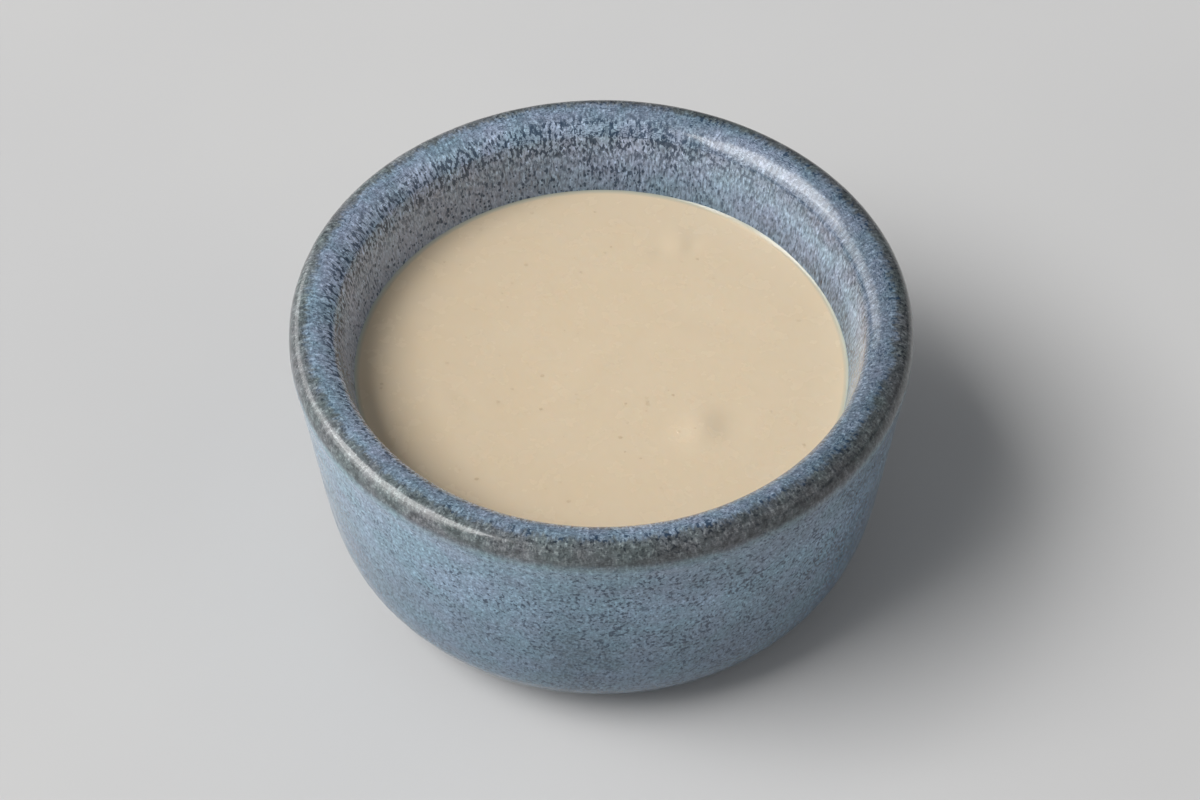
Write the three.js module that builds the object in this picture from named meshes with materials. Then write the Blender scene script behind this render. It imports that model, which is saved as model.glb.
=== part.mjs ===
// A round stoneware dip bowl with a thick rolled rim, filled with smooth tahini.
// Millimetres, +Z up. The origin is the middle of the foot, at the height of the table.

import * as THREE from 'three';

// Bowl, outside. A radius is measured from the upright axis.
const bowlHeight = 49.6;
const rimRadius = 47.5;          // the widest point, on the outer side of the rolled rim
const rimWidestZ = 45.7;
const rimCrownRadius = 44.3;     // the highest ring of the rim
const neckRadius = 47.15;        // just under the rolled rim
const neckZ = 43;
const shoulderRadius = 45.05;    // where the nearly upright wall starts to round in
const shoulderZ = 21.4;
const footRadius = 33.2;
const footEdge = 0.8;            // rounding of the foot's outer edge
const footRingWidth = 5.5;
const footHollow = 1.4;          // how far the underside is raised inside the foot ring

// Bowl, inside
const lipRadius = 40.2;          // the inner side of the rim, where the steep wall starts
const lipZ = 46.4;
const fillRadius = 38.25;        // inside radius where the tahini ends
const fillZ = 36.7;
const floorRadius = 16;          // the flat middle of the inside floor
const floorZ = 7.2;

// Tahini
const wallGap = 0.3;             // clearance between the filling and the bowl
const meniscusRise = 0.8;        // how far the edge climbs the wall
const meniscusReach = 1.7;       // how fast the climb dies away from the wall
const surfaceRings = 24;

const turnSteps = 64;            // facets round the axis

// Low relief of the tahini: each mark is a soft swelling or hollow. x and y are its middle, height is
// its depth with its sign, long and wide are its spread, and turn is the angle of its long side.
const tahiniMarks = [
  { x: 14.4, y: -12.6, height: 0.55, long: 3.1, wide: 2.3, turn: 60 },    // the largest swelling
  { x: 18.0, y: -11.7, height: -0.3, long: 2.6, wide: 1.8, turn: 60 },    // the hollow beside it
  { x: 12.6, y: 27.2, height: 0.28, long: 2.6, wide: 2.2, turn: 80 },     // a blister near the wall
  { x: 14.6, y: 25.4, height: -0.26, long: 2.2, wide: 1.4, turn: 70 },
  { x: 9.6, y: 24.6, height: -0.2, long: 2.0, wide: 1.5, turn: 40 },
  { x: -21.2, y: -6.4, height: -0.2, long: 2.8, wide: 1.6, turn: 130 },
  { x: -1.6, y: -0.8, height: 0.16, long: 9.0, wide: 2.4, turn: 51 },     // long low folds left by
  { x: 17.0, y: 9.6, height: -0.14, long: 9.0, wide: 2.6, turn: -20 },    // pouring
];

const point = (radius, z) => new THREE.Vector2(radius, z);

// Points at equal steps along a curve, without its first one.
function stepsAlong(curve, steps) {
  return Array.from({ length: steps }, (_, i) => curve.getPoint((i + 1) / steps));
}

// The steep inner wall runs straight from the fill line up to the lip, and below the fill line it
// bends on smoothly into the floor.
const wallSlope = (lipRadius - fillRadius) / (lipZ - fillZ);
const bendDrop = 10.5;
const innerBend = new THREE.CubicBezierCurve(
  point(fillRadius, fillZ),
  point(fillRadius - wallSlope * bendDrop, fillZ - bendDrop),
  point(fillRadius - 1.6, floorZ + 0.4),
  point(floorRadius, floorZ),
);

// The bowl's section, from the middle of the underside round the outside to the middle of the floor.
function bowlSection() {
  const footInner = footRadius - footRingWidth;
  const hollowEdge = new THREE.CubicBezierCurve(
    point(footInner - 2 * footHollow, footHollow),
    point(footInner - footHollow, footHollow),
    point(footInner - 0.6 * footHollow, 0),
    point(footInner, 0),
  );
  const footRound = new THREE.QuadraticBezierCurve(
    point(footRadius - footEdge, 0),
    point(footRadius, 0),
    point(footRadius + 0.3, footEdge),
  );
  const heel = new THREE.CubicBezierCurve(
    point(footRadius + 0.3, footEdge),
    point(footRadius + 10.5, footEdge + 5.9),
    point(shoulderRadius - 1.2, shoulderZ - 11.8),
    point(shoulderRadius, shoulderZ),
  );
  const wall = new THREE.LineCurve(point(shoulderRadius, shoulderZ), point(neckRadius, neckZ));
  const neck = new THREE.CubicBezierCurve(
    point(neckRadius, neckZ),
    point(neckRadius + 0.05, neckZ + 0.9),
    point(rimRadius, rimWidestZ - 1.3),
    point(rimRadius, rimWidestZ),
  );
  const outerRoll = new THREE.CubicBezierCurve(
    point(rimRadius, rimWidestZ),
    point(rimRadius, rimWidestZ + 2.2),
    point(rimCrownRadius + 2.0, bowlHeight),
    point(rimCrownRadius, bowlHeight),
  );
  const innerRoll = new THREE.CubicBezierCurve(
    point(rimCrownRadius, bowlHeight),
    point(rimCrownRadius - 2.0, bowlHeight),
    point(lipRadius + 0.5, lipZ + 2.1),
    point(lipRadius, lipZ),
  );
  const innerWall = new THREE.LineCurve(point(lipRadius, lipZ), point(fillRadius, fillZ));
  return [
    point(0, footHollow),
    point(footInner - 2 * footHollow, footHollow),
    ...stepsAlong(hollowEdge, 3),
    point(footRadius - footEdge, 0),
    ...stepsAlong(footRound, 2),
    ...stepsAlong(heel, 8),
    ...stepsAlong(wall, 2),
    ...stepsAlong(neck, 3),
    ...stepsAlong(outerRoll, 6),
    ...stepsAlong(innerRoll, 6),
    ...stepsAlong(innerWall, 2),
    ...stepsAlong(innerBend, 7),
    point(0, floorZ),
  ];
}

// A closed solid turned from a section that starts and ends on the axis.
function turned(section) {
  return new THREE.LatheGeometry(section, turnSteps).rotateX(Math.PI / 2);
}

// Height of the tahini's surface above its level middle.
function reliefAt(x, y) {
  let height = 0;
  for (const mark of tahiniMarks) {
    const turn = THREE.MathUtils.degToRad(mark.turn);
    const along = (x - mark.x) * Math.cos(turn) + (y - mark.y) * Math.sin(turn);
    const across = (y - mark.y) * Math.cos(turn) - (x - mark.x) * Math.sin(turn);
    height += mark.height * Math.exp(-((along / mark.long) ** 2) - (across / mark.wide) ** 2);
  }
  return height;
}

// The inner bend moved off the bowl by the clearance, from the floor up to the fill line.
function tahiniSide(steps) {
  return Array.from({ length: steps + 1 }, (_, i) => {
    const t = 1 - i / steps;
    const along = innerBend.getTangent(t);
    const { x, y } = innerBend.getPoint(t);
    return point(x + along.y * wallGap, y - along.x * wallGap);
  });
}

function tahiniGeometry() {
  const side = tahiniSide(8);
  const edge = side[side.length - 1];
  const surfaceZ = edge.y - meniscusRise;
  const rings = Array.from({ length: surfaceRings }, (_, i) => {
    const radius = edge.x * (1 - (i + 1) / surfaceRings);
    return point(radius, surfaceZ + meniscusRise * Math.exp((radius - edge.x) / meniscusReach));
  });
  const geometry = turned([point(0, side[0].y), ...side, ...rings]);

  // The ring at the wall and everything below it stay plain: only the open surface has relief.
  const position = geometry.attributes.position;
  const firstOpen = 1 + side.length;
  const perTurn = firstOpen + rings.length;
  for (let i = 0; i < position.count; i++) {
    if (i % perTurn < firstOpen) continue;
    const lift = reliefAt(position.getX(i), position.getY(i));
    position.setZ(i, position.getZ(i) + lift);
  }
  geometry.computeVertexNormals();
  return geometry;
}

function named(name, geometry, finish) {
  const mesh = new THREE.Mesh(geometry, new THREE.MeshStandardMaterial(finish));
  mesh.name = name;
  return mesh;
}

const bowlOfTahini = new THREE.Group();
bowlOfTahini.add(
  named('bowl', turned(bowlSection()), { color: 0x6f86a0, roughness: 0.22, metalness: 0 }),
  named('tahini', tahiniGeometry(), { color: 0xd4c3a9, roughness: 0.35, metalness: 0 }),
);

export default bowlOfTahini;
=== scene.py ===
# A stoneware dip bowl in a speckled blue glaze, filled with smooth sesame paste.
# Blender 4.5, metres, Z up. Sizes in the dictionaries are millimetres unless a note says otherwise.
import math

import bpy
import numpy as np
from mathutils import Matrix, Vector


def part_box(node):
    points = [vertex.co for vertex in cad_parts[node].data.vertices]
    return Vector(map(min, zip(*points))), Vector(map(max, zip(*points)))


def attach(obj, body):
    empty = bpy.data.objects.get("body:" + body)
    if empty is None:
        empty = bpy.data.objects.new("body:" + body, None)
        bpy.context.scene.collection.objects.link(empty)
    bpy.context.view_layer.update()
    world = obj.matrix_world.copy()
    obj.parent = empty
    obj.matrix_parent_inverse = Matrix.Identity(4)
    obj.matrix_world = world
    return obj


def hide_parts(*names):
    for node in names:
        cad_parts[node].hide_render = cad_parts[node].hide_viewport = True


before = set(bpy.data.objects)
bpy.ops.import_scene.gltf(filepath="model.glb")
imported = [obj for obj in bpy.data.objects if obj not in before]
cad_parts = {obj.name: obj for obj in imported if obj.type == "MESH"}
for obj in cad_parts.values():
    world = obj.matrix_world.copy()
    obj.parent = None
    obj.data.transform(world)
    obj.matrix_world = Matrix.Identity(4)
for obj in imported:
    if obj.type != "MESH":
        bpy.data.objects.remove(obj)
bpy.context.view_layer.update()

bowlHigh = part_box("bowl")[1]
mm = 0.001


# Camera and light

cameraLook = {
    "elevation": 47.46,   # degrees above the rim's level, seen from the middle of the rim
    "distance": 424.0,
    "pitch": 49.37,       # degrees below level
    "yaw": -0.05,
    "roll": -0.34,
    "lens": 84.0,
    "sensor": 36.0,
    "clip": (0.01, 20.0),     # nearest and farthest, in metres
}


def makeCamera(look):
    rise, pitch, yaw, roll = (math.radians(look[k]) for k in ("elevation", "pitch", "yaw", "roll"))
    back = look["distance"] * mm
    eye = Vector((0, -back * math.cos(rise), bowlHigh.z + back * math.sin(rise)))
    forward = Vector((math.sin(yaw) * math.cos(pitch), math.cos(yaw) * math.cos(pitch), -math.sin(pitch)))
    right = forward.cross(Vector((0, 0, 1))).normalized()
    up = right.cross(forward)
    turned = Matrix.Rotation(-roll, 3, forward)
    right, up = turned @ right, turned @ up
    data = bpy.data.cameras.new("photoCamera")
    data.sensor_width, data.lens = look["sensor"], look["lens"]
    data.clip_start, data.clip_end = look["clip"]
    camera = bpy.data.objects.new("photoCamera", data)
    axes = Matrix((right, up, -forward)).transposed().to_4x4()
    camera.matrix_world = Matrix.Translation(eye) @ axes
    bpy.context.scene.collection.objects.link(camera)
    bpy.context.scene.camera = camera


# Each light faces the middle of the bowl's foot, from an azimuth, counted from the left and positive to the
# back, and an elevation, both in degrees. Its distance and its size, across and up, are in metres. "only"
# limits a light to even shading or to gleams in the glaze.
lightLook = {
    "softbox": {"azimuth": -17.5, "elevation": 53.0, "distance": 5.1, "size": (3.3, 2.6), "power": 242.0,
                "colour": (1.0, 0.99, 0.975), "only": "shading"},
    "softboxWide": {"azimuth": -15.0, "elevation": 42.0, "distance": 5.4, "size": (7.3, 4.3), "power": 50.0,
                    "colour": (1.0, 0.99, 0.975)},
    "softboxLow": {"azimuth": -6.0, "elevation": 21.0, "distance": 4.8, "size": (6.9, 2.1), "power": 58.0,
                   "colour": (1.0, 0.99, 0.98)},
    "reflector": {"azimuth": 188.0, "elevation": 34.0, "distance": 2.6, "size": (2.6, 1.8), "power": 8.5,
                  "colour": (0.98, 0.99, 1.0)},
    "gleamCard": {"azimuth": -15.0, "elevation": 41.0, "distance": 5.1, "size": (5.0, 2.5), "power": 355.0,
                  "colour": (1.0, 0.99, 0.98), "only": "gleam"},
    "gleamLow": {"azimuth": 6.0, "elevation": 17.0, "distance": 4.8, "size": (9.4, 2.4), "power": 215.0,
                 "colour": (1.0, 0.99, 0.98), "only": "gleam"},
}
worldLook = {"colour": (0.95, 0.97, 1.0), "strength": 0.17}


def makeLights():
    for name, look in lightLook.items():
        data = bpy.data.lights.new(name, "AREA")
        data.shape = "RECTANGLE"
        data.size, data.size_y = look["size"]
        data.energy, data.color = look["power"], look["colour"]
        light = bpy.data.objects.new(name, data)
        turn, rise = math.radians(look["azimuth"]), math.radians(look["elevation"])
        aside = Vector((-math.cos(rise) * math.cos(turn), math.cos(rise) * math.sin(turn), math.sin(rise)))
        light.location = aside * look["distance"]
        light.rotation_euler = (-aside).to_track_quat("-Z", "Y").to_euler()
        light.visible_camera = False
        light.visible_diffuse = look.get("only") != "gleam"
        light.visible_glossy = look.get("only") != "shading"
        bpy.context.scene.collection.objects.link(light)
    world = bpy.data.worlds.new("studio")
    world.use_nodes = True
    background = world.node_tree.nodes["Background"]
    background.inputs["Color"].default_value = (*worldLook["colour"], 1)
    background.inputs["Strength"].default_value = worldLook["strength"]
    bpy.context.scene.world = world
    bpy.context.scene.view_settings.view_transform = "Standard"
    bpy.context.scene.view_settings.look = "None"


makeCamera(cameraLook)
makeLights()
print("stage 1: camera and lights")


# Node helpers

def place(tree, kind, inputs=None, **settings):
    node = tree.nodes.new(kind)
    for key, value in settings.items():
        setattr(node, key, value)
    for key, value in (inputs or {}).items():
        if isinstance(value, bpy.types.NodeSocket):
            tree.links.new(value, node.inputs[key])
        else:
            node.inputs[key].default_value = value
    return node


def calc(tree, operation, *values):
    return place(tree, "ShaderNodeMath", dict(enumerate(values)), operation=operation).outputs[0]


def vector(tree, operation, *values, out=0):
    return place(tree, "ShaderNodeVectorMath", dict(enumerate(values)), operation=operation).outputs[out]


def blendColour(tree, share, first, second, mode="MIX"):
    node = place(tree, "ShaderNodeMix", {0: share, 6: first, 7: second}, data_type="RGBA", blend_type=mode)
    return node.outputs[2]


def tint(tree, colour, by):
    return blendColour(tree, 1.0, colour, by, "MULTIPLY")


def grey(tree, value):
    return place(tree, "ShaderNodeCombineColor", {0: value, 1: value, 2: value}).outputs[0]


def placeInMm(tree):
    # The piece's own coordinates, in mm.
    where = place(tree, "ShaderNodeTexCoord").outputs["Object"]
    return place(tree, "ShaderNodeVectorMath", {0: where, "Scale": 1 / mm}, operation="SCALE").outputs[0]


def remap(tree, value, fromLow, fromHigh, toLow=0.0, toHigh=1.0, smooth=True):
    kind = "SMOOTHSTEP" if smooth else "LINEAR"
    node = place(tree, "ShaderNodeMapRange",
                 {0: value, 1: fromLow, 2: fromHigh, 3: toLow, 4: toHigh}, interpolation_type=kind)
    return node.outputs[0]


def ramp(tree, value, stops):
    # stops: pairs of place, 0 to 1, and colour.
    node = place(tree, "ShaderNodeValToRGB", {0: value})
    line = node.color_ramp.elements
    for i, (at, colour) in enumerate(stops):
        stop = line[i] if i < 2 else line.new(at)     # a new ramp has two stops already
        stop.position, stop.color = at, colour
    return node.outputs


def rgb(red, green, blue):
    # A colour as read off a screen, 0 to 255, turned into the linear values that shaders use.
    def linear(c):
        c /= 255
        return c / 12.92 if c <= 0.04045 else ((c + 0.055) / 1.055) ** 2.4
    return (linear(red), linear(green), linear(blue), 1.0)


def newGroup(name, inputs, outputs):
    group = bpy.data.node_groups.new(name, "ShaderNodeTree")
    for way, sockets in (("INPUT", inputs), ("OUTPUT", outputs)):
        for label, (kind, value) in sockets.items():
            socket = group.interface.new_socket(name=label, in_out=way, socket_type="NodeSocket" + kind)
            if value is not None:
                socket.default_value = value
    return group, group.nodes.new("NodeGroupInput").outputs, group.nodes.new("NodeGroupOutput").inputs


def useGroup(tree, group, inputs):
    return place(tree, "ShaderNodeGroup", inputs, node_tree=group).outputs


def newMaterial(name):
    material = bpy.data.materials.new(name)
    material.use_nodes = True
    tree = material.node_tree
    return material, tree, tree.nodes["Principled BSDF"].inputs


# Marks drawn out along the way the glaze ran: grains of a noise that is stretched down the slope.
def makeRunningGrain():
    group, given, made = newGroup(
        "runningGrain",
        {"Flow": ("Vector", None), "Grain": ("Float", 0.5), "Stretch": ("Float", 2.0),
         "Threshold": ("Float", 0.55), "Softness": ("Float", 0.04)},
        {"Mask": ("Float", None), "Tone": ("Float", None)})
    parts = place(group, "ShaderNodeSeparateXYZ", {0: given["Flow"]}).outputs
    along = calc(group, "DIVIDE", parts[2], given["Stretch"])
    drawn = place(group, "ShaderNodeCombineXYZ", {0: parts[0], 1: parts[1], 2: along}).outputs[0]
    scale = calc(group, "DIVIDE", 1.0, given["Grain"])
    noise = place(group, "ShaderNodeTexNoise",
                  {"Vector": drawn, "Scale": scale, "Detail": 2.0, "Roughness": 0.5}).outputs[0]
    low = calc(group, "SUBTRACT", given["Threshold"], given["Softness"])
    high = calc(group, "ADD", given["Threshold"], given["Softness"])
    group.links.new(remap(group, noise, low, high), made["Mask"])
    group.links.new(noise, made["Tone"])
    return group


# A slow drift between two values, for cloudy colour and gloss.
def makeDrift():
    group, given, made = newGroup(
        "drift",
        {"Place": ("Vector", None), "Size": ("Float", 10.0), "Low": ("Float", 0.0), "High": ("Float", 1.0)},
        {"Value": ("Float", None)})
    scale = calc(group, "DIVIDE", 1.0, given["Size"])
    noise = place(group, "ShaderNodeTexNoise",
                  {"Vector": given["Place"], "Scale": scale, "Detail": 3.0, "Roughness": 0.55}).outputs[0]
    group.links.new(remap(group, noise, 0.3, 0.7, given["Low"], given["High"]), made["Value"])
    return group


# Scattered round dots of uneven size: Spacing is the usual way from one to the next.
def makeRoundDots():
    group, given, made = newGroup(
        "roundDots",
        {"Place": ("Vector", None), "Spacing": ("Float", 1.0), "Radius": ("Float", 0.2)},
        {"Mask": ("Float", None)})
    scale = calc(group, "DIVIDE", 1.0, given["Spacing"])
    cells = place(group, "ShaderNodeTexVoronoi", {"Vector": given["Place"], "Scale": scale})
    chance = place(group, "ShaderNodeSeparateColor", {0: cells.outputs["Color"]}).outputs[0]
    away = calc(group, "MULTIPLY", cells.outputs["Distance"], given["Spacing"])
    radius = calc(group, "MULTIPLY", given["Radius"], remap(group, chance, 0.25, 1.0, 0.0, 1.1, smooth=False))
    inside = calc(group, "MULTIPLY", radius, 0.7)
    group.links.new(remap(group, away, inside, radius, 1.0, 0.0), made["Mask"])
    return group


runningGrain = makeRunningGrain()
drift = makeDrift()
roundDots = makeRoundDots()


def grainTone(tree, flow, grain, stretch=1.0):
    return useGroup(tree, runningGrain, {"Flow": flow, "Grain": grain, "Stretch": stretch})["Tone"]


def grainMask(tree, flow, grain, stretch, threshold, softness):
    return useGroup(tree, runningGrain, {"Flow": flow, "Grain": grain, "Stretch": stretch,
                                         "Threshold": threshold, "Softness": softness})["Mask"]


def drifting(tree, where, size, low=0.0, high=1.0):
    return useGroup(tree, drift, {"Place": where, "Size": size, "Low": low, "High": high})["Value"]


# Shape helpers

def bezier(points, steps):
    # Points along a Bezier curve, without its first one.
    t = np.linspace(0, 1, steps + 1)[1:, None]
    level = [np.array(p, float) + 0 * t for p in points]
    while len(level) > 1:
        level = [(1 - t) * a + t * b for a, b in zip(level, level[1:])]
    return level[0]


class Waves:
    # A seeded sum of waves round the axis and along the section, between about -1 and 1.
    def __init__(self, seed, count, turns, lengths):
        draw = np.random.default_rng(seed)
        self.turns = draw.integers(turns[0], turns[1] + 1, count)
        self.pace = 2 * math.pi / draw.uniform(lengths[0], lengths[1], count) * draw.choice([-1, 1], count)
        self.phase = draw.uniform(0, 2 * math.pi, count)

    def at(self, angle, travel):
        total = sum(np.cos(n * angle + m * travel + p) for n, m, p in zip(self.turns, self.pace, self.phase))
        return np.clip(total / math.sqrt(len(self.turns)) / 1.8, -1, 1)


def turnedPiece(name, radius, height, flow, bottomZ, topZ):
    # A closed piece from rings of points: radius, height and flow each have one row for each ring.
    rings, turns = radius.shape
    angle = np.linspace(0, 2 * math.pi, turns, endpoint=False)
    x, y = radius * np.cos(angle), radius * np.sin(angle)
    points = np.stack([x, y, height], -1).reshape(-1, 3)
    points = np.vstack([points, [[0, 0, bottomZ], [0, 0, topZ]]]) * mm
    first, second = np.arange(turns), np.roll(np.arange(turns), -1)
    start = np.arange(rings - 1)[:, None] * turns
    quads = np.stack([start + first, start + second, start + turns + second, start + turns + first], -1)
    faces = quads.reshape(-1, 4).tolist()
    foot, head, last = rings * turns, rings * turns + 1, (rings - 1) * turns
    faces += [(foot, b, a) for a, b in zip(first.tolist(), second.tolist())]
    faces += [(head, last + a, last + b) for a, b in zip(first.tolist(), second.tolist())]
    mesh = bpy.data.meshes.new(name)
    mesh.from_pydata(points.tolist(), [], faces)
    mesh.polygons.foreach_set("use_smooth", np.ones(len(mesh.polygons), bool))
    attribute = mesh.attributes.new("flow", "FLOAT_VECTOR", "POINT")
    spread = np.vstack([flow.reshape(-1, 3), flow[0].mean(0), flow[-1].mean(0)])
    attribute.data.foreach_set("vector", spread.astype(np.float32).ravel())
    mesh.update()
    piece = bpy.data.objects.new(name, mesh)
    bpy.context.scene.collection.objects.link(piece)
    return piece


# Bowl. The section is the solid's, with many more points and a slightly different roll of the rim.

bowlSize = {
    "height": bowlHigh.z / mm, "rimRadius": bowlHigh.x / mm, "rimWidestZ": 45.7, "crownRadius": 44.3,
    "neckRadius": 47.15, "neckZ": 43.0, "shoulderRadius": 45.05, "shoulderZ": 21.4,
    "footRadius": 33.2, "footEdge": 0.8, "footRingWidth": 5.5, "footHollow": 1.4,
    "lipRadius": 40.2, "lipZ": 46.4, "fillRadius": 38.25, "fillZ": 36.7,
    "floorRadius": 16.0, "floorZ": 7.2,
    "turns": 440,
}
# Handles of the section's curves: steps outwards and up from the point that each belongs to. innerDrop is how
# far down the inner wall's slope is kept below the tahini's level.
bowlHandles = {
    "heel": (10.2, 5.9), "shoulder": (-1.2, -11.8), "neck": (0.05, 0.9),
    "rimBelow": (0.0, -1.3), "rimAbove": (0.0, 2.4), "crownOut": (2.2, 0.0), "crownIn": (-1.55, 0.0),
    "lip": (0.34, 1.55), "innerDrop": 10.5, "innerCorner": (-1.6, 0.4),
}
# How far the hand-made shape wanders, one way from true, and the waves that it wanders in: seed, how many,
# turns round the axis and lengths along the section.
bowlHand = {
    "outOfRound": (0.22, (3, 5, (2, 4), (220, 500))),
    "rimDip": (0.16, (8, 5, (2, 6), (400, 900))),
    "throwingRings": (0.05, (21, 12, (0, 2), (3.2, 9.0))),
    "glazeRipple": (0.035, (34, 46, (12, 70), (3.0, 12.0))),
}


def beside(point, handle):
    return (point[0] + handle[0], point[1] + handle[1])


def innerBend(steps):
    # The inside from the tahini's level down to the floor.
    s, drop = bowlSize, bowlHandles["innerDrop"]
    slope = (s["lipRadius"] - s["fillRadius"]) / (s["lipZ"] - s["fillZ"])
    return bezier([(s["fillRadius"], s["fillZ"]),
                   (s["fillRadius"] - slope * drop, s["fillZ"] - drop),
                   beside((s["fillRadius"], s["floorZ"]), bowlHandles["innerCorner"]),
                   (s["floorRadius"], s["floorZ"])], steps)


def bowlSection():
    # The section's points, the way travelled along it, and how far each landmark lies along it.
    s, handles = bowlSize, bowlHandles
    footInner, footFlat = s["footRadius"] - s["footRingWidth"], s["footRadius"] - s["footEdge"]
    footOuter = (s["footRadius"] + 0.3, s["footEdge"])
    hollow = s["footHollow"]
    shoulder, neck = (s["shoulderRadius"], s["shoulderZ"]), (s["neckRadius"], s["neckZ"])
    widest, crown = (s["rimRadius"], s["rimWidestZ"]), (s["crownRadius"], s["height"])
    lip, fill = (s["lipRadius"], s["lipZ"]), (s["fillRadius"], s["fillZ"])
    runs = [
        ("hollowEdge", bezier([(footInner - 2 * hollow, hollow), (footInner - hollow, hollow),
                               (footInner - 0.6 * hollow, 0), (footInner, 0)], 8)),
        ("footRing", bezier([(footInner, 0), (footFlat, 0)], 6)),
        ("foot", bezier([(footFlat, 0), (s["footRadius"], 0), footOuter], 6)),
        ("shoulder", bezier([footOuter, beside(footOuter, handles["heel"]),
                             beside(shoulder, handles["shoulder"]), shoulder], 40)),
        ("neck", bezier([shoulder, neck], 34)),
        ("widest", bezier([neck, beside(neck, handles["neck"]),
                           beside(widest, handles["rimBelow"]), widest], 8)),
        ("crown", bezier([widest, beside(widest, handles["rimAbove"]),
                          beside(crown, handles["crownOut"]), crown], 20)),
        ("lip", bezier([crown, beside(crown, handles["crownIn"]), beside(lip, handles["lip"]), lip], 20)),
        ("fill", bezier([lip, fill], 20)),
        ("floor", innerBend(24)),
    ]
    start = [(6.0, hollow), (16.0, hollow), (footInner - 2 * hollow, hollow)]
    section = np.vstack([start, *(points for _, points in runs), [(6.0, s["floorZ"])]])
    travel = np.concatenate([[0], np.cumsum(np.hypot(*np.diff(section, axis=0).T))])
    ends = np.cumsum([len(start)] + [len(points) for _, points in runs])[1:] - 1
    zero = travel[ends[2]]         # travel starts at the outer edge of the foot
    return section, travel - zero, {name: travel[i] - zero for (name, _), i in zip(runs, ends)}


bowlLine, bowlTravel, mark = bowlSection()


def makeBowl():
    angle = np.linspace(0, 2 * math.pi, bowlSize["turns"], endpoint=False)[None, :]
    travel = bowlTravel[:, None] + 0 * angle
    radius, height = bowlLine[:, :1] + 0 * angle, bowlLine[:, 1:] + 0 * angle
    step = np.gradient(bowlLine, axis=0)
    step /= np.linalg.norm(step, axis=1)[:, None]
    outward, upward = step[:, 1:], -step[:, :1]

    def wander(name, along):
        reach, waves = bowlHand[name]
        return reach * (1 + Waves(*waves).at(angle, along)) / 2

    lift = np.clip(height / bowlSize["height"], 0, 1)
    radius = radius - wander("outOfRound", travel) * lift
    rimShare = np.clip((lift - 0.8) / 0.2, 0, 1)
    height = height - wander("rimDip", 0 * travel) * rimShare

    glazed = np.clip((travel - 0.5) / 4, 0, 1) * np.clip((mark["fill"] + 3 - travel) / 3, 0, 1)
    wallOnly = np.clip((mark["neck"] + 2 - travel) / 6, 0.25, 1)
    inset = (wander("throwingRings", travel) * wallOnly + wander("glazeRipple", travel)) * glazed
    radius = radius - inset * outward
    height = height - inset * upward

    wrapped = np.stack([flowRadius * np.cos(angle), flowRadius * np.sin(angle)], -1)
    flow = np.concatenate([wrapped + 0 * travel[..., None], travel[..., None]], -1)
    return turnedPiece("glazedBowl", radius, height, flow, bowlSize["footHollow"], bowlSize["floorZ"])


# Zones of the glaze on the way up the outside, over the rim and down the inside. Each row holds from
# "past" mm beyond a landmark of the section, and blends into the next. ground is its colour, with painted
# shade on the lower wall, and marks, comb, dots and flecks say how strongly each kind of mark shows there.
glazeZones = [
    # The wall's ground darkens from the rim towards the foot: painted shade on the lower wall.
    {"at": "foot", "past": 0.0, "ground": rgb(87, 107, 121), "marks": 0.30, "flecks": 0.25},
    {"at": "foot", "past": 14.0, "ground": rgb(98, 119, 136), "marks": 0.50, "flecks": 0.35},
    {"at": "shoulder", "past": 2.0, "ground": rgb(110, 131, 148), "marks": 0.65, "flecks": 0.5},
    {"at": "neck", "past": -8.0, "ground": rgb(128, 152, 171), "marks": 0.68, "flecks": 0.5},
    {"at": "widest", "past": -1.0, "ground": rgb(139, 161, 179), "marks": 0.55, "flecks": 0.4},
    {"at": "widest", "past": 0.2, "ground": rgb(130, 148, 156), "marks": 0.30, "flecks": 0.35},
    {"at": "widest", "past": 1.1, "ground": rgb(97, 101, 106), "marks": 0.25, "flecks": 0.6},
    {"at": "widest", "past": 3.4, "ground": rgb(95, 98, 102), "marks": 0.50, "flecks": 1.0},
    {"at": "crown", "past": -0.7, "ground": rgb(97, 103, 109), "marks": 0.60, "flecks": 0.9, "comb": 0.1},
    {"at": "crown", "past": 0.3, "ground": rgb(126, 144, 161), "marks": 0.62, "flecks": 0.7, "comb": 0.15},
    {"at": "crown", "past": 1.6, "ground": rgb(140, 155, 173), "marks": 0.66, "flecks": 0.65, "comb": 0.3},
    {"at": "crown", "past": 2.7, "ground": rgb(157, 173, 191), "marks": 0.64, "flecks": 0.6, "comb": 0.8},
    {"at": "lip", "past": 1.4, "ground": rgb(164, 179, 200), "marks": 0.60, "flecks": 0.5, "comb": 1.0},
    {"at": "lip", "past": 3.4, "ground": rgb(161, 179, 200), "marks": 0.70,
     "flecks": 0.55, "comb": 0.55, "dots": 0.4},
    {"at": "fill", "past": -4.0, "ground": rgb(148, 166, 189), "marks": 0.65,
     "flecks": 0.5, "comb": 0.15, "dots": 1.0},
    {"at": "fill", "past": 0.0, "ground": rgb(127, 146, 165), "marks": 0.60,
     "flecks": 0.4, "comb": 0.1, "dots": 1.0},
]
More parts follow.
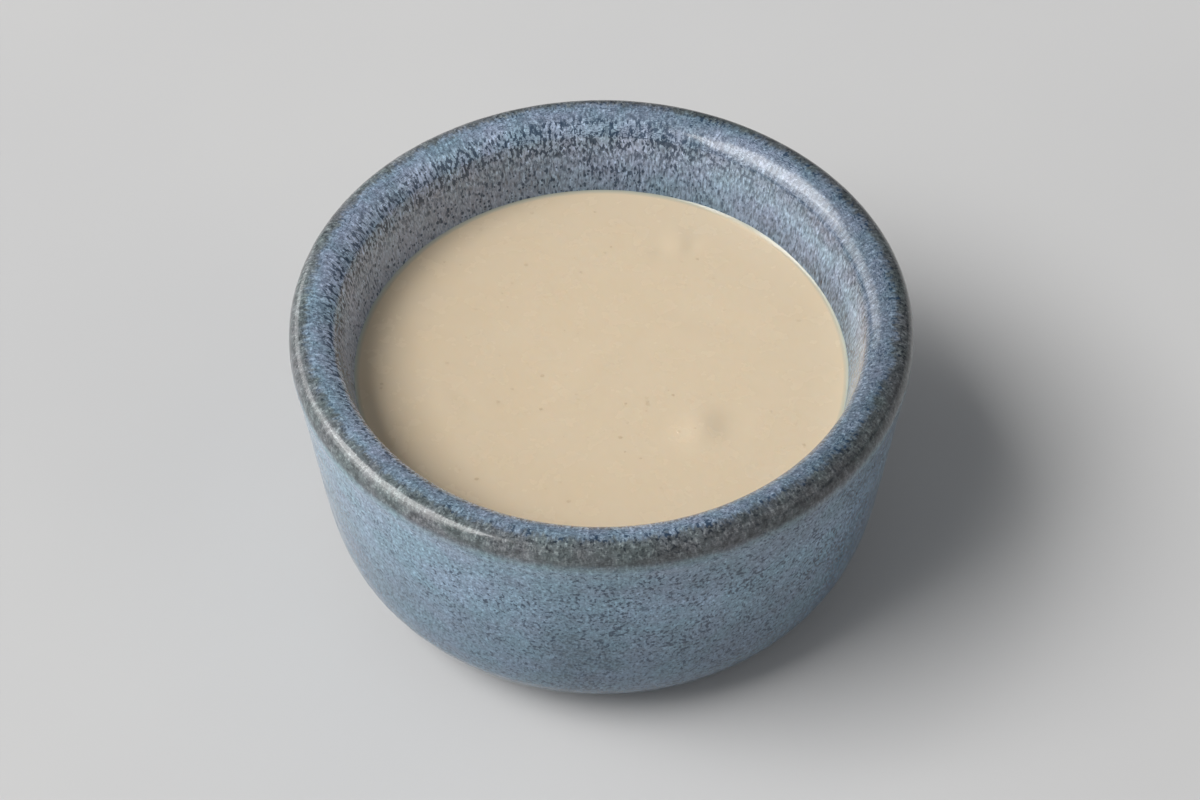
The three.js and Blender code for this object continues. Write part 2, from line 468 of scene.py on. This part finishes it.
glazeLook = {
    "speck": rgb(24, 48, 72), "bandSpeck": rgb(28, 34, 42), "darkest": 0.85, "clay": rgb(176, 160, 138),
    "inShade": rgb(172, 175, 186), "inShadeShare": 0.6,    # painted shade: the glaze's colour as it looks in shade, on the inside's left
    # These four multiply the ground's colour.
    "fleck": (1.75, 1.72, 1.68, 1.0), "olive": (1.04, 1.06, 1.0, 1.0),
    "teal": (0.90, 1.0, 1.0, 1.0), "lilac": (1.04, 1.0, 1.05, 1.0),
    # Sizes in mm, and spans of brightness. The threads' span is for the wall, for the rim and added inside.
    "hueSize": 6.0, "cloudSize": 9.0, "cloudSpan": 0.06, "mottleSize": 0.9, "mottleSpan": 0.18,
    "bandSize": 1.2, "bandSpan": (0.68, 1.34),
    "patchEdge": (0.2, 1.6),    # shares of a patch's width and height, over which it fades
    "threadSize": 0.40, "threadStretch": (1.1, 2.8), "threadSpan": (1.45, 1.7, 0.5),
    "fleckSize": 0.34, "fleckStretch": 2.2, "fleckThreshold": 0.57, "fleckSoftness": 0.06,
    "markSize": 0.54, "markStretch": (1.1, 2.4), "markThreshold": 0.645, "markSoftness": 0.08,
    "markGrowth": 0.09, "markDark": 1.3,    # strong marks are larger, by a lower threshold, and darker
    "crowdSize": 5.0, "crowdSpan": (0.65, 1.25), "sparse": (0.76, 1.1), "sparseInside": 0.42,
    "combSize": 0.54, "combStretch": 1.7, "combThreshold": 0.535, "combSoftness": 0.03,
    "dotSpacing": 0.72, "dotRadius": 0.36,
    "spotDark": 0.6, "spotEdge": (0.3, 1.3),    # shares of a spot's radius, over which it fades
    # Spans across the bowl, in mm from its middle, positive to the right, over which these change.
    "shadeAcross": (-32.0, 30.0), "sparseAcross": (-34.0, 8.0), "sparseInsideAcross": (0.0, 34.0),
    "combAcross": (-5.0, 42.0), "dotAcross": (-5.0, 36.0), "inShadeAcross": (5.0, -38.0),
    "rightShare": 0.5,        # how much of the comb and the dots is left on the right
    "strayLarge": 3.0, "strayFine": 0.5, "strayStretch": 2.0,
    "wander": 2.4,            # the span, mm, over which the edges between the zones stray on the rim
    "shadeSide": 0.60,         # brightness of the rim on the right, away from the light: painted shade
    "shadeWall": 0.26,         # how much darker painted shade makes the wall there, just under the rim
    "shadeInside": 0.68,       # the share of this painted shade that is left on the inside
    "gloss": (0.10, 0.22), "glossSize": 2.5, "clayRough": 0.6, "ior": 1.52, "shine": 0.38,
    "peelSize": 1.7, "peelHeight": 1.6, "markDent": 0.12, "relief": 0.03, "bump": 0.6,
}
# Soft patches where the glaze ran thicker and darker, or thinner and paler (depth below zero), and the larger
# iron spots. Each has an angle and a way travelled, in mm. The paler patch on the inside's left is painted
# light, where shade falls.
glazeAndLightPatches = [
    {"angle": 266.0, "travel": 24.0, "wide": 7.5, "tall": 21.0, "depth": 0.18},    # the run down the front
    {"angle": 300.0, "travel": 12.0, "wide": 15.0, "tall": 13.0, "depth": 0.13},
    {"angle": 283.0, "travel": 56.6, "wide": 13.0, "tall": 2.4, "depth": -0.28},   # the rim, front and back
    {"angle": 54.0, "travel": 56.6, "wide": 14.0, "tall": 2.4, "depth": -0.24},
    {"angle": 338.0, "travel": 56.8, "wide": 17.0, "tall": 2.6, "depth": 0.17},
    {"angle": 234.0, "travel": 56.6, "wide": 9.0, "tall": 2.0, "depth": 0.14},
    {"angle": 116.0, "travel": 67.0, "wide": 16.0, "tall": 4.5, "depth": 0.26},    # the inside, back
    {"angle": 167.0, "travel": 65.6, "wide": 19.0, "tall": 3.6, "depth": -0.26},   # left: paler, painted light where shade falls on the inside
    {"angle": 11.0, "travel": 58.8, "wide": 21.0, "tall": 2.0, "depth": 0.24},     # right
    {"angle": 26.0, "travel": 70.0, "wide": 18.0, "tall": 3.4, "depth": 0.34},
    {"angle": 27.0, "travel": 61.8, "wide": 13.0, "tall": 2.4, "depth": 0.16},
    {"angle": 174.0, "travel": 69.6, "wide": 12.0, "tall": 2.2, "depth": 0.18},    # left again
    {"angle": 262.0, "travel": 53.4, "wide": 7.0, "tall": 1.6, "depth": -0.18},    # the band below the rim
    {"angle": 325.0, "travel": 53.4, "wide": 11.0, "tall": 1.8, "depth": 0.16},
]
ironSpots = [
    {"angle": 277.5, "travel": 38.6, "radius": 0.75}, {"angle": 283.3, "travel": 34.8, "radius": 0.45},
    {"angle": 297.0, "travel": 34.5, "radius": 0.45}, {"angle": 247.0, "travel": 37.3, "radius": 0.45},
    {"angle": 227.5, "travel": 37.0, "radius": 0.60}, {"angle": 229.8, "travel": 31.4, "radius": 0.45},
    {"angle": 297.8, "travel": 18.9, "radius": 0.50}, {"angle": 261.9, "travel": 26.6, "radius": 0.45},
    {"angle": 10.4, "travel": 63.9, "radius": 0.55},
]
flowRadius = bowlSize["rimRadius"] - 3     # the radius at which flow coordinates wrap round the axis


def flowPoint(angle, travel):
    turn = math.radians(angle)
    return (flowRadius * math.cos(turn), flowRadius * math.sin(turn), travel)


def zoneRamps(tree, travel):
    span = mark["fill"] + 4
    share = calc(tree, "DIVIDE", travel, span)
    places = [(mark[zone["at"]] + zone["past"]) / span for zone in glazeZones]
    strengths = [(z["marks"], z.get("comb", 0), z.get("dots", 0), z["flecks"]) for z in glazeZones]
    ground = ramp(tree, share, zip(places, (zone["ground"] for zone in glazeZones)))[0]
    amounts = ramp(tree, share, zip(places, strengths))
    return ground, *place(tree, "ShaderNodeSeparateColor", {0: amounts[0]}).outputs, amounts[1]


# How light the ground is: threads along the run, broad clouds, mottle, the patches, and painted shade on the
# right.
def glazeLight(tree, flow, across, travel):
    look = glazeLook
    stretch = remap(tree, travel, mark["neck"], mark["lip"], *look["threadStretch"])
    threads = calc(tree, "SUBTRACT", grainTone(tree, flow, look["threadSize"], stretch), 0.5)
    wallSpan, rimSpan, inSpan = look["threadSpan"]
    span = calc(tree, "ADD", remap(tree, travel, mark["widest"], mark["crown"], wallSpan, rimSpan),
                remap(tree, travel, mark["crown"] + 2, mark["lip"] + 3, 0.0, inSpan))
    clouds = drifting(tree, flow, look["cloudSize"], -look["cloudSpan"], look["cloudSpan"])
    mottle = drifting(tree, flow, look["mottleSize"], 1 - look["mottleSpan"], 1 + look["mottleSpan"])
    light = calc(tree, "ADD", calc(tree, "ADD", calc(tree, "MULTIPLY", threads, span), clouds), mottle)
    for patch in glazeAndLightPatches:
        wide, tall = 1 / patch["wide"], 1 / patch["tall"]
        aside = vector(tree, "SUBTRACT", flow, flowPoint(patch["angle"], patch["travel"]))
        away = vector(tree, "LENGTH", vector(tree, "MULTIPLY", aside, (wide, wide, tall)), out="Value")
        light = calc(tree, "SUBTRACT", light, remap(tree, away, *look["patchEdge"], patch["depth"], 0.0))
    # Painted shade: the rim, the wall just under it and, less, the inside are darker on the right, away from
    # the light.
    shadeRim = remap(tree, travel, mark["widest"] + 0.5, mark["widest"] + 1.5, 0.0, 1 - look["shadeSide"])
    shadeWall = remap(tree, travel, mark["neck"] - 9, mark["neck"] - 2, 0.0, look["shadeWall"])
    inside = remap(tree, travel, mark["lip"] - 1, mark["lip"] + 2, 1.0, look["shadeInside"])
    paintedShade = calc(tree, "MULTIPLY", calc(tree, "MAXIMUM", shadeRim, shadeWall), inside)
    paintedShade = calc(tree, "MULTIPLY", paintedShade, remap(tree, across, *look["shadeAcross"]))
    return calc(tree, "MULTIPLY", light, calc(tree, "SUBTRACT", 1.0, paintedShade))


# The dark marks: short ones all over, a comb on the turn into the bowl, round dots just above the paste and
# the larger iron spots.
def glazeDark(tree, flow, across, travel, marks, comb, dots):
    look = glazeLook
    # The short ones gather in loose clouds, sparser on the left of the wall and on the right of the inside.
    crowd = drifting(tree, flow, look["crowdSize"], *look["crowdSpan"])
    within = calc(tree, "MULTIPLY", remap(tree, travel, mark["lip"], mark["lip"] + 2),
                  remap(tree, across, *look["sparseInsideAcross"]))
    sparse = calc(tree, "SUBTRACT", remap(tree, across, *look["sparseAcross"], *look["sparse"]),
                  calc(tree, "MULTIPLY", within, look["sparseInside"]))
    marks = calc(tree, "MULTIPLY", marks, calc(tree, "MULTIPLY", crowd, sparse))
    lower = calc(tree, "MULTIPLY", marks, look["markGrowth"])
    threshold = calc(tree, "SUBTRACT", look["markThreshold"], lower)
    stretch = remap(tree, travel, mark["crown"], mark["lip"] + 1, *look["markStretch"])
    markMask = grainMask(tree, flow, look["markSize"], stretch, threshold, look["markSoftness"])
    dark = calc(tree, "MULTIPLY", markMask, calc(tree, "MULTIPLY", marks, look["markDark"]))
    combMask = grainMask(tree, flow, look["combSize"], look["combStretch"], look["combThreshold"],
                         look["combSoftness"])
    combKept = remap(tree, across, *look["combAcross"], 1.0, look["rightShare"])
    combShare = calc(tree, "MULTIPLY", comb, combKept)
    dark = calc(tree, "MAXIMUM", dark, calc(tree, "MULTIPLY", combMask, combShare))
    dotMask = useGroup(tree, roundDots, {"Place": flow, "Spacing": look["dotSpacing"],
                                         "Radius": look["dotRadius"]})[0]
    dotKept = remap(tree, across, *look["dotAcross"], 1.0, look["rightShare"])
    dotShare = calc(tree, "MULTIPLY", dots, dotKept)
    dark = calc(tree, "MAXIMUM", dark, calc(tree, "MULTIPLY", dotMask, dotShare))
    for spot in ironSpots:
        away = vector(tree, "DISTANCE", flow, flowPoint(spot["angle"], spot["travel"]), out="Value")
        core, edge = (spot["radius"] * share for share in look["spotEdge"])
        dark = calc(tree, "MAXIMUM", dark, remap(tree, away, core, edge, look["spotDark"], 0.0))
    return calc(tree, "MINIMUM", dark, look["darkest"])


def glazeMaterial():
    look = glazeLook
    material, tree, shader = newMaterial("speckledGlaze")
    flow = place(tree, "ShaderNodeAttribute", attribute_name="flow").outputs["Vector"]
    across, _, travel = place(tree, "ShaderNodeSeparateXYZ", {0: flow}).outputs

    # Edges between the zones stray a little, more on the rim than under it.
    stray = calc(tree, "ADD", grainTone(tree, flow, look["strayLarge"]),
                 grainTone(tree, flow, look["strayFine"], look["strayStretch"]))
    stray = calc(tree, "SUBTRACT", stray, 1.0)
    reach = remap(tree, travel, mark["widest"] + 2, mark["crown"], look["wander"] * 0.25, look["wander"])
    strayed = calc(tree, "ADD", travel, calc(tree, "MULTIPLY", stray, reach))
    ground, marks, comb, dots, flecks = zoneRamps(tree, strayed)
    colour = tint(tree, ground, grey(tree, glazeLight(tree, flow, across, travel)))

    # Slow changes of hue, olive patches in the brown band, and painted shade: a greyer colour on the inside's
    # left.
    hue = drifting(tree, flow, look["hueSize"])
    colour = tint(tree, colour, blendColour(tree, hue, look["teal"], look["lilac"]))
    inBand = calc(tree, "MULTIPLY", remap(tree, strayed, mark["widest"] + 0.6, mark["widest"] + 1.6),
                  remap(tree, strayed, mark["crown"] - 1.2, mark["crown"] - 0.2, 1.0, 0.0))
    patches = tint(tree, grey(tree, drifting(tree, flow, look["bandSize"], *look["bandSpan"])), look["olive"])
    colour = tint(tree, colour, blendColour(tree, inBand, (1.0, 1.0, 1.0, 1.0), patches))
    greyer = calc(tree, "MULTIPLY", remap(tree, across, *look["inShadeAcross"], 0.0, look["inShadeShare"]),
                  remap(tree, strayed, mark["lip"], mark["lip"] + 3))
    colour = blendColour(tree, greyer, colour, look["inShade"])

    # Light flecks, then the dark marks, then the bare clay under the foot.
    fleckMask = grainMask(tree, flow, look["fleckSize"], look["fleckStretch"], look["fleckThreshold"],
                          look["fleckSoftness"])
    lit = tint(tree, colour, look["fleck"])
    colour = blendColour(tree, calc(tree, "MULTIPLY", fleckMask, flecks), colour, lit)
    dark = glazeDark(tree, flow, across, travel, marks, comb, dots)
    colour = blendColour(tree, dark, colour, blendColour(tree, inBand, look["speck"], look["bandSpeck"]))
    bare = remap(tree, travel, -0.5, 0.0, 1, 0)
    tree.links.new(blendColour(tree, bare, colour, look["clay"]), shader["Base Color"])

    gloss = drifting(tree, flow, look["glossSize"], *look["gloss"])
    rough = calc(tree, "ADD", gloss, calc(tree, "MULTIPLY", bare, look["clayRough"]))
    tree.links.new(rough, shader["Roughness"])
    shader["IOR"].default_value = look["ior"]
    shader["Specular IOR Level"].default_value = look["shine"]

    peel = calc(tree, "MULTIPLY", grainTone(tree, flow, look["peelSize"]), look["peelHeight"])
    relief = calc(tree, "SUBTRACT", peel, calc(tree, "MULTIPLY", dark, look["markDent"]))
    bump = place(tree, "ShaderNodeBump",
                 {"Height": relief, "Strength": look["bump"], "Distance": look["relief"] * mm})
    tree.links.new(bump.outputs[0], shader["Normal"])
    return material


bowl = makeBowl()
bowl.data.materials.append(glazeMaterial())
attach(bowl, "root")
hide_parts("bowl")
print("stage 2: bowl,", len(bowl.data.polygons), "faces")


# Tahini

tahiniSize = {
    "overlap": 0.08,        # into the wall, so that no gap shows
    # The surface climbs the wall by this much: a slow rise from far off, then a short steep one.
    # It reaches farther from the wall in one place, where it catches the light.
    "slowRise": 0.28, "slowReach": 1.7, "steepRise": 0.48, "steepReach": 0.30, "steepSoft": 0.10,
    "wideAngle": 51.0, "wideSpread": 13.0, "wideReach": 0.95,
    "wallGap": 0.3,         # clearance of the solid that this piece stands for
    "rings": 110, "turns": 360, "sideSteps": 30,
    "ringCrowding": 1.6,    # above 1, the rings lie closer together towards the wall
}
# Low relief: x and y are the middle, height the depth with its sign, long and wide the spread, turn the
# angle of the long side in degrees. They are the solid's eight, most of them lower and the first two moved.
tahiniMarks = [
    {"x": 15.1, "y": -12.7, "height": 0.56, "long": 3.6, "wide": 2.9, "turn": 60},
    {"x": 19.3, "y": -12.1, "height": -0.12, "long": 3.4, "wide": 2.6, "turn": 60},
    {"x": 12.6, "y": 27.2, "height": 0.17, "long": 2.4, "wide": 2.0, "turn": 80},
    {"x": 14.6, "y": 25.4, "height": -0.16, "long": 2.0, "wide": 1.3, "turn": 70},
    {"x": 9.6, "y": 24.6, "height": -0.13, "long": 2.0, "wide": 1.5, "turn": 40},
    {"x": -21.2, "y": -6.4, "height": -0.12, "long": 2.8, "wide": 1.6, "turn": 130},
    {"x": -1.6, "y": -0.8, "height": 0.14, "long": 9.0, "wide": 2.6, "turn": 51},
    {"x": 17.0, "y": 9.6, "height": -0.12, "long": 9.0, "wide": 2.8, "turn": -20},
]


def reliefAt(x, y):
    total = 0 * x
    for m in tahiniMarks:
        turn = math.radians(m["turn"])
        along = (x - m["x"]) * math.cos(turn) + (y - m["y"]) * math.sin(turn)
        across = (y - m["y"]) * math.cos(turn) - (x - m["x"]) * math.sin(turn)
        total = total + m["height"] * np.exp(-(along / m["long"]) ** 2 - (across / m["wide"]) ** 2)
    return total


def climb(away, angle):
    # Height of the meniscus at a distance from the wall.
    size = tahiniSize
    aside = (np.degrees(angle) - size["wideAngle"] + 180) % 360 - 180
    wide = np.exp(-(aside / size["wideSpread"]) ** 2)
    reach = size["steepReach"] + (size["wideReach"] - size["steepReach"]) * wide
    steep = np.log1p(np.exp((reach - away) / size["steepSoft"])) * size["steepSoft"] / reach
    return size["slowRise"] * np.exp(-away / size["slowReach"]) + size["steepRise"] * steep


def makeTahini():
    size = tahiniSize
    bend = np.vstack([(bowlSize["fillRadius"], bowlSize["fillZ"]), innerBend(size["sideSteps"])])[::-1]
    step = np.gradient(bend, axis=0)
    step /= np.linalg.norm(step, axis=1)[:, None]
    gap = np.linspace(size["wallGap"], -size["overlap"], len(bend))[:, None]
    side = bend + gap * np.stack([-step[:, 1], step[:, 0]], -1)
    edge = side[-1]
    level = edge[1] - size["slowRise"] - size["steepRise"]
    rings = edge[0] * (1 - np.linspace(0, 1, size["rings"] + 1)[1:-1] ** size["ringCrowding"])
    top = np.stack([rings, 0 * rings + level], -1)
    line = np.vstack([[(6.0, side[0][1])], side, top])
    angle = np.linspace(0, 2 * math.pi, size["turns"], endpoint=False)[None, :]
    radius, height = line[:, :1] + 0 * angle, line[:, 1:] + 0 * angle
    x, y = radius * np.cos(angle), radius * np.sin(angle)
    surface = np.arange(len(line))[:, None] > len(side)
    height = np.where(surface, height + reliefAt(x, y) + climb(edge[0] - radius, angle), height)
    flow = np.stack([x, y, height], -1)
    centre = level + float(reliefAt(0.0, 0.0))
    return turnedPiece("tahiniFilling", radius, height, flow, side[0][1], centre), level


tahiniLook = {
    "paste": rgb(214, 197, 171), "pasteWarm": rgb(213, 194, 165), "cloudSize": 9.0, "cloudSpan": (0.1, 0.9),
    "film": rgb(140, 156, 152), "filmWide": 0.85, "filmShare": 0.85,    # where the paste thins on the wall
    "rough": (0.20, 0.30), "roughSize": 4.0, "filmRough": -0.10, "shine": 0.40,
    "glow": 0.2, "glowReach": (1.0, 0.62, 0.36), "glowDepth": 1.6,
    "peelSize": 4.0, "peelDepth": 0.05, "bump": 0.5,
}


def tahiniMaterial():
    look = tahiniLook
    material, tree, shader = newMaterial("sesamePaste")
    flow = place(tree, "ShaderNodeAttribute", attribute_name="flow").outputs["Vector"]
    cloud = remap(tree, grainTone(tree, flow, look["cloudSize"]), *look["cloudSpan"], smooth=False)
    colour = blendColour(tree, cloud, look["paste"], look["pasteWarm"])
    out = vector(tree, "LENGTH", vector(tree, "MULTIPLY", flow, (1.0, 1.0, 0.0)), out="Value")
    fill = bowlSize["fillRadius"]
    film = remap(tree, out, fill - look["filmWide"], fill, 0.0, look["filmShare"], smooth=False)
    tree.links.new(blendColour(tree, film, colour, look["film"]), shader["Base Color"])
    rough = drifting(tree, flow, look["roughSize"], *look["rough"])
    rough = calc(tree, "ADD", rough, calc(tree, "MULTIPLY", film, look["filmRough"]))
    tree.links.new(rough, shader["Roughness"])
    shader["Specular IOR Level"].default_value = look["shine"]
    shader["Subsurface Weight"].default_value = look["glow"]
    shader["Subsurface Radius"].default_value = look["glowReach"]
    shader["Subsurface Scale"].default_value = look["glowDepth"] * mm
    peel = grainTone(tree, flow, look["peelSize"])
    bump = place(tree, "ShaderNodeBump",
                 {"Height": peel, "Strength": look["bump"], "Distance": look["peelDepth"] * mm})
    tree.links.new(bump.outputs[0], shader["Normal"])
    return material


# Bits of sesame husk that lie in the surface. Each is sunk at its edge and flat on top.
huskLook = {
    "count": 84, "within": 35.5, "radius": (0.12, 0.44), "narrow": 0.8, "uneven": 0.3, "sides": 9,
    "sunk": 0.05, "topShare": 0.75, "rise": 0.02,
    "husk": rgb(192, 171, 140), "toneSize": 4.0, "rough": 0.4,
}


def makeHusks(level):
    look, draw = huskLook, np.random.default_rng(12)
    points, faces = [], []
    for _ in range(look["count"]):
        out, turn = look["within"] * math.sqrt(draw.random()), draw.uniform(0, 2 * math.pi)
        x, y = out * math.cos(turn), out * math.sin(turn)
        z = level + float(climb(bowlSize["fillRadius"] - out, turn) + reliefAt(x, y))
        size, start, sides = draw.uniform(*look["radius"]), len(points), look["sides"]
        angle = np.arange(sides) * 2 * math.pi / sides
        for share, lift in ((1.0, -look["sunk"]), (look["topShare"], look["rise"])):
            reach = size * share * (1 + look["uneven"] * draw.uniform(-1, 1, sides))
            points += [(x + r * math.cos(a), y + look["narrow"] * r * math.sin(a), z + lift)
                       for a, r in zip(angle, reach)]
        low = [start + i for i in range(sides)]
        high = [i + sides for i in low]
        faces += list(zip(low, low[1:] + low[:1], high[1:] + high[:1], high))
        faces += [tuple(high), tuple(reversed(low))]
    mesh = bpy.data.meshes.new("huskBits")
    mesh.from_pydata([tuple(c * mm for c in p) for p in points], [], faces)
    piece = bpy.data.objects.new("huskBits", mesh)
    bpy.context.scene.collection.objects.link(piece)
    return piece


def huskMaterial():
    look = huskLook
    material, tree, shader = newMaterial("sesameHusk")
    tone = drifting(tree, placeInMm(tree), look["toneSize"])
    tree.links.new(blendColour(tree, tone, look["husk"], tahiniLook["pasteWarm"]), shader["Base Color"])
    shader["Roughness"].default_value = look["rough"]
    return material


tahini, tahiniLevel = makeTahini()
tahini.data.materials.append(tahiniMaterial())
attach(tahini, "root")
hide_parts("tahini")
husks = makeHusks(tahiniLevel)
husks.data.materials.append(huskMaterial())
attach(husks, "root")
print("stage 3: tahini,", len(tahini.data.polygons), "faces, and bits of husk")


# Floor

floorLook = {
    "size": 4000.0, "pale": (0.594, 0.593, 0.592, 1.0), "shade": (0.574, 0.574, 0.577, 1.0),
    "cloudSize": 120.0, "rough": 0.8, "shine": 0.08,
}


def makeFloor():
    look, half = floorLook, floorLook["size"] * mm / 2
    corners = [(-half, -half, 0), (half, -half, 0), (half, half, 0), (-half, half, 0)]
    mesh = bpy.data.meshes.new("floor")
    mesh.from_pydata(corners, [], [(0, 1, 2, 3)])
    floor = bpy.data.objects.new("floor", mesh)
    bpy.context.scene.collection.objects.link(floor)
    material, tree, shader = newMaterial("paleFloor")
    cloud = drifting(tree, placeInMm(tree), look["cloudSize"])
    tree.links.new(blendColour(tree, cloud, look["pale"], look["shade"]), shader["Base Color"])
    shader["Roughness"].default_value = look["rough"]
    shader["Specular IOR Level"].default_value = look["shine"]
    mesh.materials.append(material)


makeFloor()
print("stage 4: floor")
